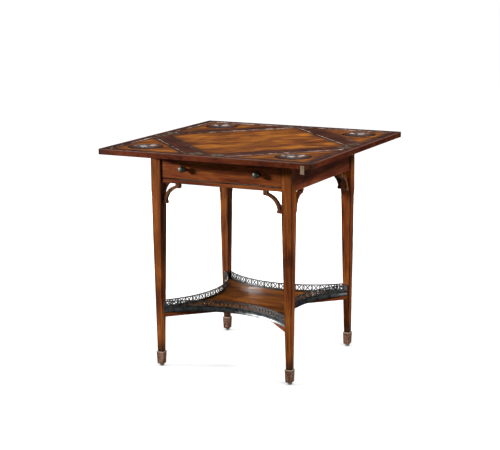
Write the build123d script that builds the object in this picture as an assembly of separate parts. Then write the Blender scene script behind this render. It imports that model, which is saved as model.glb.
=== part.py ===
from build123d import *
import os
from math import asin, atan2, cos, degrees, radians, sin, sqrt

os.makedirs("parts", exist_ok=True)

# Envelope card table, shown open. Millimetres, +Z up, the drawer faces -Y.
# The origin is on the floor, on the axis about which the top swivels.

# Overall sizes
table_height = 762.0
panel_side = 543.0  # closed top: side of the centre panel, from hinge line to hinge line
top_thickness = 19.0
border_width = 26.0  # raised border along every edge and on both sides of each hinge line
field_sunk = 2.0  # the fields inside the borders lie this much lower
border_round = 1.6
base_width = 518.0  # over the outer faces of the legs at the apron
under_top_gap = 2.0  # between the top's underside and the base frame

# Legs and feet
leg_size = 37.0
ankle_size = 20.0
ankle_inset = 6.5  # how far the outer faces lean in down to the ankle
ankle_height = 50.5
leg_arris = 1.2
foot_collar_size = 26.5
foot_collar_height = 3.5
foot_waist_size = 25.0
foot_toe_size = 22.0
foot_toe_chamfer = 2.5
glide_height = 6.5
glide_radius = 7.5
glide_edge = 1.0

# Aprons and rails
apron_height = 100.0
apron_thickness = 18.0
front_recess = 3.2  # rails and back apron behind the legs' outer faces
side_recess = 3.7
top_rail_height = 12.0
bottom_rail_height = 14.0

# Arched brackets: a quarter arc with a block at each end
bracket_reach = 67.5
bracket_drop = 71.5
bracket_thickness = 16.0
bracket_back_set = 2.0  # bracket face behind the rail face
bracket_arc_from_leg = 68.0
bracket_arc_below_rail = 67.5
bracket_arc_inner = 52.0
bracket_arc_width = 9.5
bracket_block_width = 14.5
bracket_block_height = 16.0
bracket_foot_width = 18.5
bracket_foot_height = 10.0

# Undertier: diagonal stretchers, shelf and gallery
stretcher_width = 21.0
stretcher_height = 15.0
stretcher_bottom = 173.0
shelf_thickness = 13.0
shelf_waist = 150.0  # from the centre to the middle of a concave side, which ends in the legs' middles
band_height = 20.0
band_thickness = 4.8
band_bead = 1.5
band_cove_depth = 1.4
fret_height = 16.0
fret_thickness = 1.6
fret_bar = 3.4
fret_pitch = 30.0  # from cross to cross, with a narrow ring between them
fret_cross_width = 15.0  # between the ends of a cross's bars
fret_ring_width = 9.0
gallery_rail_height = 4.0
gallery_rail_width = 3.6
gallery_screw_radius = 2.4
gallery_screw_proud = 1.2
gallery_screw_shank_radius = 1.1
gallery_screw_length = 10.0
gallery_screw_spread_share = 0.86  # share of the gallery's half angle
gallery_end_angle = 2.0  # how far the gallery is first swept past the legs

# Swivel
bearer_width = 170.0
bearer_thickness = 20.0
bolt_radius = 6.0
bolt_head_radius = 12.0
bolt_head_height = 5.0
socket_radius = 10.0
socket_flange_radius = 20.0
pivot_plate_radius = 62.0
pivot_plate_thickness = 3.0
stop_pin_radius = 3.0
stop_pin_length = 14.0
stop_pin_orbit = 48.0
stop_start_angle = 90.0  # where the stop pin stands with the top open
swivel_angle = 45.0
washer_radius = 15.0
washer_thickness = 2.5
nut_width = 19.0
nut_height = 10.0
bolt_tail = 2.0
plug_radius = 21.0
plug_thickness = 4.0
plug_edge = 0.5
pad_radius = 8.0
plate_screw_orbit = 30.0

# Drawer
drawer_gap = 1.5
drawer_front_thickness = 18.0
drawer_side_thickness = 10.0
drawer_side_height = 44.0
drawer_bottom_thickness = 5.0
drawer_bottom_lift = 6.0
drawer_groove_depth = 5.0
drawer_side_back_set = 2.5  # sides stand in from the ends of the front
drawer_lap = 6.0  # wood of the front left before the ends of the sides
runner_reach = 15.0  # runner under the drawer side, inward of the legs
runner_height = 12.0
guide_height = 20.0
knob_radius = 11.0
knob_length = 20.0
knob_stem_radius = 4.5
knob_base_radius = 7.5
knob_base_thickness = 2.0
knob_spacing = 273.0
knob_shank_radius = 2.5
knob_shank_length = 14.0
knob_neck_top = 9.0
knob_rim_height = 14.0
knob_swell_share = 0.67  # how full the curve under the knob's rim is
drawer_back_inset = 8.0

# Link hinges between the panel and the flaps
pin_depth = 2.2  # pin axes below the playing surface
folded_gap = 0.4  # between the panel and a flap folded over it
flap_seam = 0.6  # between two folded flaps
leaf_length = 38.0
leaf_reach = 20.0
leaf_thickness = 4.6
hinge_from_corner = 55.0
link_width = 10.0
link_radius = 1.9
pin_radius = 0.8
pin_overhang = 3.0
link_clearance = 0.15
hinge_screw_head_radius = 3.1
hinge_screw_shank_radius = 1.4
hinge_screw_length = 12.0
hinge_screw_spread = 22.0
hinge_screw_from_line = 13.0

# Flaps
edge_round = 1.5
tip_round = 3.0
well_radius = 60.0
well_rim = 5.0
well_depth = 9.5
well_seat_depth = 13.0
well_rim_round = 1.0
well_from_hinge = 110.5
tab_width = 13.0
tab_thickness = 2.0
tab_hang = 16.0
tab_hold = 11.0
tab_from_tip = 31.0
tab_flare = 1.5
tab_flare_height = 4.0

# Clearances
running_clearance = 0.05
sliding_clearance = 0.3
overrun = 5.0

# Worked out from the sizes above
top_underside = table_height - top_thickness
field_top = table_height - field_sunk
frame_top = top_underside - under_top_gap
apron_bottom = frame_top - apron_height
outer_face = base_width / 2
inner_face = outer_face - leg_size
taper_top = apron_bottom - bracket_drop
front_face = outer_face - front_recess
side_face = outer_face - side_recess
shelf_bottom = stretcher_bottom + stretcher_height
shelf_top = shelf_bottom + shelf_thickness
fret_bottom = shelf_bottom + band_height
pin_pitch = 2 * pin_depth + folded_gap
bisector = panel_side / 2
diagonal_share = sqrt(2)  # a square's diagonal over its side
flap_height = bisector - flap_seam / 2 * diagonal_share
open_half = (bisector + flap_height) / diagonal_share
bearer_bottom = frame_top - bearer_thickness

corner_angles = {"back_right": 0, "back_left": 90, "front_left": 180, "front_right": 270}
side_angles = {"front": 0, "right": 90, "back": 180, "left": 270}
flap_angles = {"front_right": -45, "back_right": 45, "back_left": 135, "front_left": 225}
signs = (-1, 1)


def turned(shape, angle):
    """The shape turned about the table's vertical axis."""
    return Rot(0, 0, angle) * shape


def block(x_pair, y_pair, z_pair):
    """Box between two opposite corners."""
    (x0, x1), (y0, y1), (z0, z1) = sorted(x_pair), sorted(y_pair), sorted(z_pair)
    centre = Pos((x0 + x1) / 2, (y0 + y1) / 2, (z0 + z1) / 2)
    return centre * Box(x1 - x0, y1 - y0, z1 - z0)


def post(x, y, z_pair, radius, top_radius=None):
    """Upright cylinder or cone between two heights."""
    z0, z1 = sorted(z_pair)
    place = Pos(x, y, (z0 + z1) / 2)
    if top_radius is None:
        return place * Cylinder(radius, z1 - z0)
    return place * Cone(radius, top_radius, z1 - z0)


def tapered(centre, size, z, end_centre, end_size, end_z):
    """Block between two level squares, narrowing downward, whose middles lie on the back right diagonal."""
    start = centre - size / 2
    inset = end_centre - end_size / 2 - start
    place = Plane(origin=(start, start, z), x_dir=(1, 0, 0), z_dir=(0, 1, 0))
    return place * Solid.make_wedge(size, z - end_z, size, inset, inset, inset + end_size, inset + end_size)


def biggest(shape):
    """The largest solid of a cut shape."""
    return max(shape.solids(), key=lambda solid: solid.volume)


def save(node, *shapes):
    """Writes one node; several solids stay separate."""
    solids = [solid for shape in shapes for solid in shape.solids()]
    shape = solids[0] if len(solids) == 1 else Compound(children=solids)
    export_step(shape, f"parts/{node}.step")


def flat_screw(head_radius, shank_radius, length):
    """Countersunk screw with its head flush at zero and its shank pointing down."""
    cone_height = head_radius - shank_radius
    head = post(0, 0, (-cone_height, 0), shank_radius, head_radius)
    return head + post(0, 0, (-length, -cone_height), shank_radius)


# Legs

def leg_centre_and_size(z):
    """Centre offset and size of the leg's square section at one height."""
    share = min(1, max(0, (taper_top - z) / (taper_top - ankle_height)))
    size = leg_size + (ankle_size - leg_size) * share
    return outer_face - ankle_inset * share - size / 2, size


def make_leg():
    """Leg of the back right corner: square block, then tapered on all four faces, with eased corners."""
    sections = []
    for z in (ankle_height, taper_top):
        centre, size = leg_centre_and_size(z)
        sections.append(Plane(origin=(centre, centre, z)) * RectangleRounded(size, size, leg_arris))
    return extrude(sections[-1], frame_top - taper_top) + loft(sections, ruled=True)


def make_leg_space():
    """Room of one leg below its block: the same taper with sharp corners."""
    centre, size = leg_centre_and_size(taper_top)
    low_centre, low_size = leg_centre_and_size(ankle_height)
    return tapered(centre, size, taper_top, low_centre, low_size, ankle_height)


def make_foot():
    """Spade foot: collar, waist, and a block tapering to the toe."""
    centre, _ = leg_centre_and_size(ankle_height)
    collar_bottom = ankle_height - foot_collar_height
    collar_span = (centre - foot_collar_size / 2, centre + foot_collar_size / 2)
    collar = block(collar_span, collar_span, (collar_bottom, ankle_height))
    collar = fillet(collar.edges().filter_by(Axis.Z), leg_arris)
    spade = Part(tapered(centre, foot_waist_size, collar_bottom, centre, foot_toe_size, glide_height).wrapped)
    spade = chamfer(spade.faces().sort_by(Axis.Z)[0].edges(), foot_toe_chamfer)
    return collar + spade


def make_glide():
    """Round pad under the foot."""
    centre, _ = leg_centre_and_size(ankle_height)
    pad = post(centre, centre, (0, glide_height), glide_radius)
    return chamfer(pad.edges().sort_by(Axis.Z)[0], glide_edge)


leg_master = make_leg()
leg_spaces = [turned(make_leg_space(), angle) for angle in corner_angles.values()]
for corner, angle in corner_angles.items():
    save(f"leg_{corner}", turned(leg_master, angle))
    save(f"spade_foot_{corner}", turned(make_foot(), angle))
save("floor_glides", *[turned(make_glide(), angle) for angle in corner_angles.values()])

# Aprons and drawer rails

rail_span = (-inner_face, inner_face)
apron_heights = (apron_bottom, frame_top)
for side, sign in (("left", -1), ("right", 1)):
    faces = (sign * (side_face - apron_thickness), sign * side_face)
    save(f"apron_{side}", block(faces, rail_span, apron_heights))
save("apron_back", block(rail_span, (front_face - apron_thickness, front_face), apron_heights))
rail_depth = (-front_face, apron_thickness - front_face)
rail_top = apron_bottom + bottom_rail_height
save("front_top_rail", block(rail_span, rail_depth, (frame_top - top_rail_height, frame_top)))
save("front_bottom_rail", block(rail_span, rail_depth, (apron_bottom, rail_top)))

# Arched brackets

def make_bracket_profile():
    """Outline of one bracket; x runs in from the leg, y up, and the corner under the rail is at zero."""
    centre = Pos(bracket_arc_from_leg, -bracket_arc_below_rail)
    arc = centre * (Circle(bracket_arc_inner + bracket_arc_width) - Circle(bracket_arc_inner))
    frame = Pos(bracket_reach / 2, -bracket_drop / 2) * Rectangle(bracket_reach, bracket_drop)
    head_x = bracket_reach - bracket_block_width / 2
    head = Pos(head_x, -bracket_block_height / 2) * Rectangle(bracket_block_width, bracket_block_height)
    foot_y = bracket_foot_height / 2 - bracket_drop
    foot = Pos(bracket_foot_width / 2, foot_y) * Rectangle(bracket_foot_width, bracket_foot_height)
    return (arc & frame) + head + foot


def make_bracket_pair(turn, face):
    """Two facing brackets under one side, the front side when the turn is zero."""
    back = bracket_back_set + bracket_thickness - face
    place = Plane(origin=(-inner_face, back, apron_bottom), x_dir=(1, 0, 0), z_dir=(0, -1, 0))
    left = extrude(place * make_bracket_profile(), bracket_thickness)
    return [turned(left, turn), turned(mirror(left, Plane.YZ), turn)]


brackets = []
for side, turn in side_angles.items():
    face = front_face if side in ("front", "back") else side_face
    brackets += make_bracket_pair(turn, face)
save("arched_brackets", *brackets)

# Undertier: stretchers halved over each other, shelf, gallery

def make_stretcher(turn, lap_sign):
    """Diagonal rail between two legs; half its height is cut away where the two cross."""
    reach = leg_centre_and_size(shelf_bottom)[0] * diagonal_share
    rail = block((-reach, reach), (-stretcher_width / 2, stretcher_width / 2), (stretcher_bottom, shelf_bottom))
    middle = stretcher_bottom + stretcher_height / 2
    half = stretcher_width / 2
    cut_end = shelf_bottom + overrun if lap_sign > 0 else stretcher_bottom - overrun
    lap = block((-half, half), (-half - overrun, half + overrun), (middle, cut_end))
    return biggest(turned(rail - lap, turn) - leg_spaces)


save("stretcher_rising", make_stretcher(45, 1))
save("stretcher_falling", make_stretcher(-45, -1))


def leg_inner_at(z):
    """Distance from the centre to the legs' inner faces at one height."""
    centre, size = leg_centre_and_size(z)
    return centre - size / 2


arc_half_chord = leg_inner_at(shelf_bottom)
arc_rise = leg_centre_and_size(shelf_bottom)[0] - shelf_waist
shelf_arc_radius = (arc_half_chord ** 2 + arc_rise ** 2) / (2 * arc_rise)
gallery_centre = shelf_waist + shelf_arc_radius
fret_radius = shelf_arc_radius - band_thickness / 2


def make_shelf():
    """Board with four concave sides, notched round the legs."""
    board_half = shelf_waist + arc_rise
    board = block((-board_half, board_half), (-board_half, board_half), (shelf_bottom, shelf_top))
    z_pair = (shelf_bottom - overrun, shelf_top + overrun)
    bite = post(0, -gallery_centre, z_pair, shelf_arc_radius)
    return biggest(board - [turned(bite, turn) for turn in side_angles.values()] - leg_spaces)


def gallery_plane(angle, radius, z):
    """Plane facing the arc's centre at one place of the front gallery; its y axis points up."""
    a = radians(angle)
    origin = (radius * sin(a), radius * cos(a) - gallery_centre, z)
    return Plane(origin=origin, x_dir=(cos(a), -sin(a), 0), z_dir=(-sin(a), -cos(a), 0))


def swept_about_arc(profile):
    """Section in the XZ plane at the arc's middle, turned along the whole concave side."""
    half_angle = degrees(asin(leg_inner_at(shelf_bottom) / (shelf_arc_radius - band_thickness))) + gallery_end_angle
    start = Pos(0, -gallery_centre, 0) * Rot(0, 0, 90 - half_angle)
    axis = Axis((0, 0, 0), (0, 0, 1))
    return start * revolve(profile, axis, 2 * half_angle)


def make_band_profile():
    """Moulded base band: a bead above and below a shallow cove on the outer side."""
    inner = shelf_arc_radius
    outer = shelf_arc_radius - band_thickness
    low, high = shelf_bottom, fret_bottom
    bead = 2 * band_bead
    with BuildSketch(Plane.XZ) as profile:
        with BuildLine():
            Polyline((outer + band_bead, low), (inner, low), (inner, high), (outer + band_bead, high))
            RadiusArc((outer + band_bead, high), (outer + band_bead, high - bead), band_bead)
            ThreePointArc(
                (outer + band_bead, high - bead),
                (outer + band_bead + band_cove_depth, (low + high) / 2),
                (outer + band_bead, low + bead),
            )
            RadiusArc((outer + band_bead, low + bead), (outer + band_bead, low), band_bead)
        make_face()
    return profile.sketch


def make_fret_cutters():
    """Crosses and rings in turn: what is cut out of the pierced strip between the band and the top rail."""
    half_height = fret_height / 2
    half_pitch = fret_pitch / 2
    half_cross = fret_cross_width / 2
    slope = atan2(half_height, half_cross)
    side_bar = fret_bar / 2 / sin(slope)
    rise_bar = fret_bar / 2 / cos(slope)
    ring_hole = Ellipse(fret_ring_width / 2 - fret_bar, half_height - fret_bar)
    ring_outline = Pos(half_pitch, 0) * Ellipse(fret_ring_width / 2, half_height + fret_bar / 2)
    cap_end = half_cross - side_bar
    cap = Polygon((0, rise_bar), (cap_end, half_height), (-cap_end, half_height), align=None)
    wing_top = half_cross + side_bar
    wing = Polygon(
        (side_bar, 0), (wing_top, -half_height), (half_pitch, -half_height),
        (half_pitch, half_height), (wing_top, half_height), align=None,
    )
    wing = wing - ring_outline
    pitch_angle = degrees(fret_pitch / fret_radius)
    half_angle = degrees(asin(leg_inner_at(fret_bottom) / fret_radius))
    count = int(half_angle / pitch_angle)
    middle = fret_bottom + half_height
    cutters = []
    for i in range(-count, count + 1):
        cross_holes = [cap, mirror(cap, Plane.XZ)]
        if i < count:
            cross_holes.append(wing)
            ring_plane = gallery_plane((i + 1 / 2) * pitch_angle, fret_radius, middle)
            cutters.append(extrude(ring_plane * ring_hole, fret_thickness, both=True))
        if i > -count:
            cross_holes.append(mirror(wing, Plane.YZ))
        cross_plane = gallery_plane(i * pitch_angle, fret_radius, middle)
        cutters += [extrude(cross_plane * hole, fret_thickness, both=True) for hole in cross_holes]
    return cutters


def make_gallery():
    """Front gallery: base band, pierced strip and top rail in one piece of metal."""
    band = swept_about_arc(make_band_profile())
    strip_x = fret_radius
    sunk = gallery_rail_height / 2  # how far the strip runs on into the band and the rail
    strip = Pos(strip_x, fret_bottom + fret_height / 2) * Rectangle(fret_thickness, fret_height + 2 * sunk)
    strip = swept_about_arc(Plane.XZ * strip)
    strip = strip - make_fret_cutters()
    rail_middle = fret_bottom + fret_height + gallery_rail_height / 2
    rail = Rectangle(gallery_rail_width, gallery_rail_height)
    rail = chamfer(rail.vertices(), gallery_rail_width / 4)
    rail = swept_about_arc(Plane.XZ * Pos(strip_x, rail_middle) * rail)
    return biggest(band + strip + rail - leg_spaces)


def make_gallery_screws(turn):
    """Round-headed screws through the band into the shelf's edge."""
    z = (shelf_bottom + shelf_top) / 2
    seat = shelf_arc_radius - band_thickness + band_bead + band_cove_depth
    half_angle = degrees(asin(leg_inner_at(shelf_bottom) / seat))
    head = post(0, 0, (-gallery_screw_proud, gallery_screw_proud), gallery_screw_radius)
    head = fillet(head.edges().sort_by(Axis.Z)[-1], gallery_screw_proud / 2)
    screw = head + post(0, 0, (-gallery_screw_length, 0), gallery_screw_shank_radius)
    spots = (-gallery_screw_spread_share, 0, gallery_screw_spread_share)
    return [turned(gallery_plane(share * half_angle, seat, z) * screw, turn) for share in spots]


gallery_screws = {side: make_gallery_screws(turn) for side, turn in side_angles.items()}
all_gallery_screws = [screw for group in gallery_screws.values() for screw in group]
gallery_master = make_gallery() - gallery_screws["front"]
for side, turn in side_angles.items():
    save(f"gallery_{side}", turned(gallery_master, turn))
save("gallery_screws", *all_gallery_screws)
save("undertier_shelf", make_shelf() - all_gallery_screws)

# Swivel: a bearer across the frame carries the socket in which the top's bolt turns

def make_bearer():
    """Board between the side aprons, with the pivot hole and a curved slot for the stop pin."""
    end = side_face - apron_thickness
    board = block((-end, end), (-bearer_width / 2, bearer_width / 2), (bearer_bottom, frame_top))
    slot_half = stop_pin_radius + sliding_clearance
    z_pair = (frame_top - stop_pin_length, frame_top + overrun)
    ring = post(0, 0, z_pair, stop_pin_orbit + slot_half) - post(0, 0, z_pair, stop_pin_orbit - slot_half)
    start, end_angle = radians(stop_start_angle), radians(stop_start_angle + swivel_angle)
    reach = 2 * stop_pin_orbit
    sector = Polygon((0, 0), (reach * cos(start), reach * sin(start)),
                     (reach * cos(end_angle), reach * sin(end_angle)), align=None)
    sector = Pos(0, 0, z_pair[0]) * extrude(sector, z_pair[1] - z_pair[0])
    ends = [
        post(stop_pin_orbit * cos(a), stop_pin_orbit * sin(a), z_pair, slot_half) for a in (start, end_angle)
    ]
    hole = post(0, 0, (bearer_bottom - overrun, frame_top + overrun), socket_radius)
    return board - (ring & sector) - ends - hole


def make_socket():
    """Flanged bush; the flange is also the middle bearing of the top."""
    barrel = post(0, 0, (bearer_bottom, frame_top), socket_radius)
    flange = post(0, 0, (frame_top, top_underside - sliding_clearance), socket_flange_radius)
    bore = post(0, 0, (bearer_bottom - overrun, top_underside), bolt_radius + running_clearance)
    return barrel + flange - bore


def make_bolt_set():
    """Pivot bolt from the panel down through the socket, with its washer and nut."""
    head_top = field_top - plug_thickness
    head_bottom = head_top - bolt_head_height
    washer_top = bearer_bottom - sliding_clearance
    nut_top = washer_top - washer_thickness
    nut_bottom = nut_top - nut_height
    bolt = post(0, 0, (head_bottom, head_top), bolt_head_radius)
    bolt = bolt + post(0, 0, (nut_bottom - bolt_tail, head_bottom), bolt_radius)
    bore = post(0, 0, (nut_bottom - overrun, washer_top + overrun), bolt_radius + running_clearance)
    washer = post(0, 0, (nut_top, washer_top), washer_radius) - bore
    hexagon = Pos(0, 0, nut_bottom) * extrude(RegularPolygon(nut_width / 2, 6, major_radius=False), nut_height)
    return [bolt, washer, hexagon - bore]


def make_pads():
    """Felt pads on the leg tops and in the middle of each rail, on which the top turns."""
    z_pair = (frame_top, top_underside - sliding_clearance)
    corner, _ = leg_centre_and_size(frame_top)
    front_middle = front_face - apron_thickness / 2
    side_middle = side_face - apron_thickness / 2
    spots = [(x * corner, y * corner) for x in signs for y in signs]
    spots += [(0, y * front_middle) for y in signs] + [(x * side_middle, 0) for x in signs]
    return [post(x, y, z_pair, pad_radius) for x, y in spots]


save("swivel_bearer", make_bearer())
save("pivot_socket", make_socket())
save("felt_pads", *make_pads())
bolt_set = make_bolt_set()
save("pivot_bolt", *bolt_set)

# Drawer

drawer_front_half = inner_face - drawer_gap
drawer_side_face = drawer_front_half - drawer_side_back_set
drawer_low = rail_top + drawer_gap
drawer_high = frame_top - top_rail_height - drawer_gap
drawer_back_end = front_face - apron_thickness - sliding_clearance
bottom_low = drawer_low + drawer_bottom_lift
bottom_high = bottom_low + drawer_bottom_thickness
side_high = drawer_low + drawer_side_height


def make_drawer_side(sign):
    """Side board, running from its lap in the front to just short of the back apron."""
    faces = (sign * (drawer_side_face - drawer_side_thickness), sign * drawer_side_face)
    return block(faces, (drawer_lap - front_face, drawer_back_end), (drawer_low, side_high))


def make_knob():
    """Turned knob with a foot, a neck and a domed head, and its shank that goes into the drawer front."""
    shank = knob_shank_length
    dome = knob_length - knob_rim_height
    dome_radius = (knob_radius ** 2 + dome ** 2) / (2 * dome)
    half_angle = asin(knob_radius / dome_radius) / 2
    crown = (dome_radius * sin(half_angle), knob_length - dome_radius * (1 - cos(half_angle)))
    swell_x = knob_stem_radius + (knob_radius - knob_stem_radius) * knob_swell_share
    swell_y = knob_rim_height + (knob_neck_top - knob_rim_height) * knob_swell_share
    under = (swell_x, swell_y)
    foot_top = 2 * knob_base_thickness
    with BuildSketch(Plane.XZ) as profile:
        with BuildLine():
            Polyline(
                (0, knob_length), (0, -shank), (knob_shank_radius, -shank), (knob_shank_radius, 0),
                (knob_base_radius, 0), (knob_base_radius, knob_base_thickness),
                (knob_stem_radius, foot_top), (knob_stem_radius, knob_neck_top),
            )
            ThreePointArc((knob_stem_radius, knob_neck_top), under, (knob_radius, knob_rim_height))
            ThreePointArc((knob_radius, knob_rim_height), crown, (0, knob_length))
        make_face()
    return revolve(profile.sketch, Axis.Z)


def make_runner(sign):
    """Runner under the drawer side with a guide beside it, fixed to the side apron."""
    top = drawer_low - sliding_clearance
    low = top - runner_height
    inner = drawer_side_face - runner_reach
    outer = side_face - apron_thickness
    back = front_face - apron_thickness
    lengths = (-inner_face, inner_face)
    under = block((sign * inner, sign * inner_face), (-back, back), (low, top))
    outside = block((sign * inner_face, sign * outer), lengths, (low, top))
    guide_face = drawer_side_face + sliding_clearance
    guide = block((sign * guide_face, sign * outer), lengths, (top, top + guide_height))
    return under + outside + guide


knob_height = (drawer_low + drawer_high) / 2
knobs = [
    Plane(origin=(x * knob_spacing / 2, -front_face, knob_height), x_dir=(1, 0, 0), z_dir=(0, -1, 0)) * make_knob()
    for x in signs
]
bottom_reach = drawer_side_face - drawer_side_thickness + drawer_groove_depth
front_back = drawer_front_thickness - front_face
bottom_depth = (front_back - drawer_groove_depth, drawer_back_end)
drawer_bottom = block((-bottom_reach, bottom_reach), bottom_depth, (bottom_low, bottom_high))
drawer_sides = {"left": make_drawer_side(-1), "right": make_drawer_side(1)}
front_board = block((-drawer_front_half, drawer_front_half), (-front_face, front_back), (drawer_low, drawer_high))
front_board = fillet(front_board.faces().sort_by(Axis.Y)[0].edges(), leg_arris)
save("drawer_front", front_board - list(drawer_sides.values()) - [drawer_bottom] - knobs)
for side, board in drawer_sides.items():
    save(f"drawer_side_{side}", board - drawer_bottom)
back_half = drawer_side_face - drawer_side_thickness
back_end = drawer_back_end - drawer_back_inset
back_depth = (back_end - drawer_side_thickness, back_end)
save("drawer_back", block((-back_half, back_half), back_depth, (bottom_high, side_high)))
save("drawer_bottom", drawer_bottom)
save("drawer_knobs", *knobs)
save("drawer_runners", make_runner(-1), make_runner(1))

# Top: in the frame of one side, x runs outward from the centre and the hinge line is at the bisector

panel_half = bisector - folded_gap / 2
hinge_offset = bisector - hinge_from_corner
pin_height = table_height - pin_depth


def sink(board, field):
    """Board with its field cut down and the inner top edges of the border rounded."""
    board = board - extrude(Pos(0, 0, field_top) * field, field_sunk + overrun)
    middles = [Pos(0, 0, table_height) * Vertex(*edge.center()) for edge in field.edges()]
    rims = [edge for edge in board.edges() if any(same_place(edge.center(), middle) for middle in middles)]
    return fillet(rims, border_round)


def same_place(point, vertex):
    """Whether a point and a vertex coincide."""
    return (point - vertex.center()).length < running_clearance


def make_panel_blank():
    """Square board with a sunk field, whose top edges are rounded about the hinge pins."""
    blank = block((-panel_half, panel_half), (-panel_half, panel_half), (top_underside, table_height))
    blank = fillet(blank.faces().sort_by(Axis.Z)[-1].edges(), pin_depth)
    field_side = 2 * (bisector - border_width)
    return sink(blank, Rectangle(field_side, field_side))


def make_flap_blank():
    """Right-angled triangle with a sunk field; its long edge along the hinge line is rounded about the pins."""
    start = bisector + folded_gap / 2
    tip = bisector + flap_height
    root = start - leaf_reach
    half_root = tip - root
    thickness = table_height - top_underside
    outline = Polygon((root, -half_root), (tip, 0), (root, half_root), align=None)
    board = Pos(0, 0, top_underside) * extrude(outline, thickness)
    board = fillet(board.edges().filter_by(Axis.Z).sort_by(Axis.X)[-1], tip_round)
    rims = [edge for edge in board.edges() if edge.center().X > root + edge_round and
            abs(edge.center().Z - (top_underside + table_height) / 2) > edge_round]
    board = fillet(rims, edge_round)
    keep = block((start, tip + overrun), (-half_root, half_root), (top_underside, table_height))
    keep = fillet(keep.faces().sort_by(Axis.X)[0].edges().sort_by(Axis.Z)[-1], pin_depth)
    field_tip = tip - border_width * diagonal_share
    field_root = bisector + border_width
    half_field = field_tip - field_root
    field = Polygon((field_root, -half_field), (field_tip, 0), (field_root, half_field), align=None)
    return sink(board & keep, field)


def hinge_spots():
    """Places of the two hinges along one hinge line."""
    return [sign * hinge_offset for sign in signs]


def leaf_blank(y, sign):
    """Space of one leaf; the sign is -1 on the panel and 1 on the flap."""
    x_pair = (bisector, bisector + sign * leaf_reach)
    z_pair = (table_height - leaf_thickness, table_height + overrun)
    return block(x_pair, (y - leaf_length / 2, y + leaf_length / 2), z_pair)


def link_blank(y, sign, grow):
    """Link's slot in a leaf, or the pin's hole with it, grown by a clearance."""
    pin_x = bisector + sign * pin_pitch / 2
    x_pair = (pin_x + sign * (link_radius + grow), bisector - sign * leaf_reach)
    half_width = link_width / 2 + grow
    z_pair = (table_height - leaf_thickness - overrun, table_height + overrun)
    return block(x_pair, (y - half_width, y + half_width), z_pair)


def across(x, y, radius, length):
    """Cylinder along the hinge line at the height of the pins."""
    return Pos(x, y, pin_height) * Rot(90, 0, 0) * Cylinder(radius, length)


def make_link(y):
    """Link with its two pins."""
    left, right = bisector - pin_pitch / 2, bisector + pin_pitch / 2
    bar = block(
        (left, right),
        (y - link_width / 2, y + link_width / 2),
        (pin_height - link_radius, pin_height + link_radius),
    )
    link = bar + across(left, y, link_radius, link_width) + across(right, y, link_radius, link_width)
    pin_length = link_width + 2 * pin_overhang
    return link + across(left, y, pin_radius, pin_length) + across(right, y, pin_radius, pin_length)


def make_leaf_screws(sign):
    """Countersunk screws of the two leaves on one side of a hinge line."""
    screw = flat_screw(hinge_screw_head_radius, hinge_screw_shank_radius, hinge_screw_length)
    x = bisector + sign * hinge_screw_from_line
    rows = [y + end * hinge_screw_spread / 2 for y in hinge_spots() for end in signs]
    return [Pos(x, y, table_height) * screw for y in rows]


def make_leaves(blank, sign, screws):
    """Leaves let into the board, shaped by the board's own rounded edge."""
    leaves = []
    for y in hinge_spots():
        pin_x = bisector + sign * pin_pitch / 2
        hole = across(pin_x, y, pin_radius + running_clearance, link_width + 2 * pin_overhang + running_clearance)
        leaf = (blank & leaf_blank(y, sign)) - link_blank(y, sign, link_clearance) - hole - screws
        leaves.append(biggest(leaf))
    return leaves


panel_blank = make_panel_blank()
panel_leaf_spaces = [leaf_blank(y, -1) for y in hinge_spots()]
panel_leaf_screws = make_leaf_screws(-1)
panel_leaves = make_leaves(panel_blank, -1, panel_leaf_screws)
plate_screw = Rot(180, 0, 0) * flat_screw(hinge_screw_head_radius, hinge_screw_shank_radius, hinge_screw_length)
panel_turns = flap_angles.values()
plate_screws = [turned(Pos(plate_screw_orbit, 0, top_underside) * plate_screw, turn) for turn in panel_turns]
all_leaf_spaces = [turned(space, turn) for turn in panel_turns for space in panel_leaf_spaces]
all_leaf_screws = [turned(screw, turn) for turn in panel_turns for screw in panel_leaf_screws]


def make_pivot_plate():
    """Steel plate under the panel with the bolt's hole and the stop pin."""
    stop = radians(stop_start_angle)
    plate = post(0, 0, (top_underside, top_underside + pivot_plate_thickness), pivot_plate_radius)
    pin_z = (top_underside - stop_pin_length + under_top_gap, top_underside)
    pin = post(stop_pin_orbit * cos(stop), stop_pin_orbit * sin(stop), pin_z, stop_pin_radius)
    bore = post(0, 0, (top_underside - overrun, table_height), bolt_radius + running_clearance)
    return plate + pin - bore - plate_screws


def make_panel():
    """Centre panel with its recesses for leaves, screws, plug, bolt and pivot plate."""
    plug_bottom = field_top - plug_thickness
    head_bottom = plug_bottom - bolt_head_height
    panel = turned(panel_blank, swivel_angle) - all_leaf_spaces - all_leaf_screws - plate_screws
    panel = panel - post(0, 0, (plug_bottom, table_height + overrun), plug_radius)
    panel = panel - post(0, 0, (head_bottom, plug_bottom), bolt_head_radius + running_clearance)
    panel = panel - post(0, 0, (top_underside, head_bottom), bolt_radius + running_clearance)
    plate_top = top_underside + pivot_plate_thickness
    return panel - post(0, 0, (top_underside - overrun, plate_top), pivot_plate_radius)


save("centre_panel", make_panel())
plug = post(0, 0, (field_top - plug_thickness, field_top), plug_radius - running_clearance)
save("centre_plug", chamfer(plug.edges().sort_by(Axis.Z)[-1], plug_edge))
save("pivot_plate", make_pivot_plate())
save("panel_hinge_leaves", *[turned(leaf, turn) for turn in panel_turns for leaf in panel_leaves])
save("panel_screws", *all_leaf_screws, *plate_screws)

# Flaps, each made in the frame of its side and turned into place

flap_blank = make_flap_blank()
flap_leaf_screws = make_leaf_screws(1)
flap_leaves = make_leaves(flap_blank, 1, flap_leaf_screws)
well_x = bisector + well_from_hinge


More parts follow.
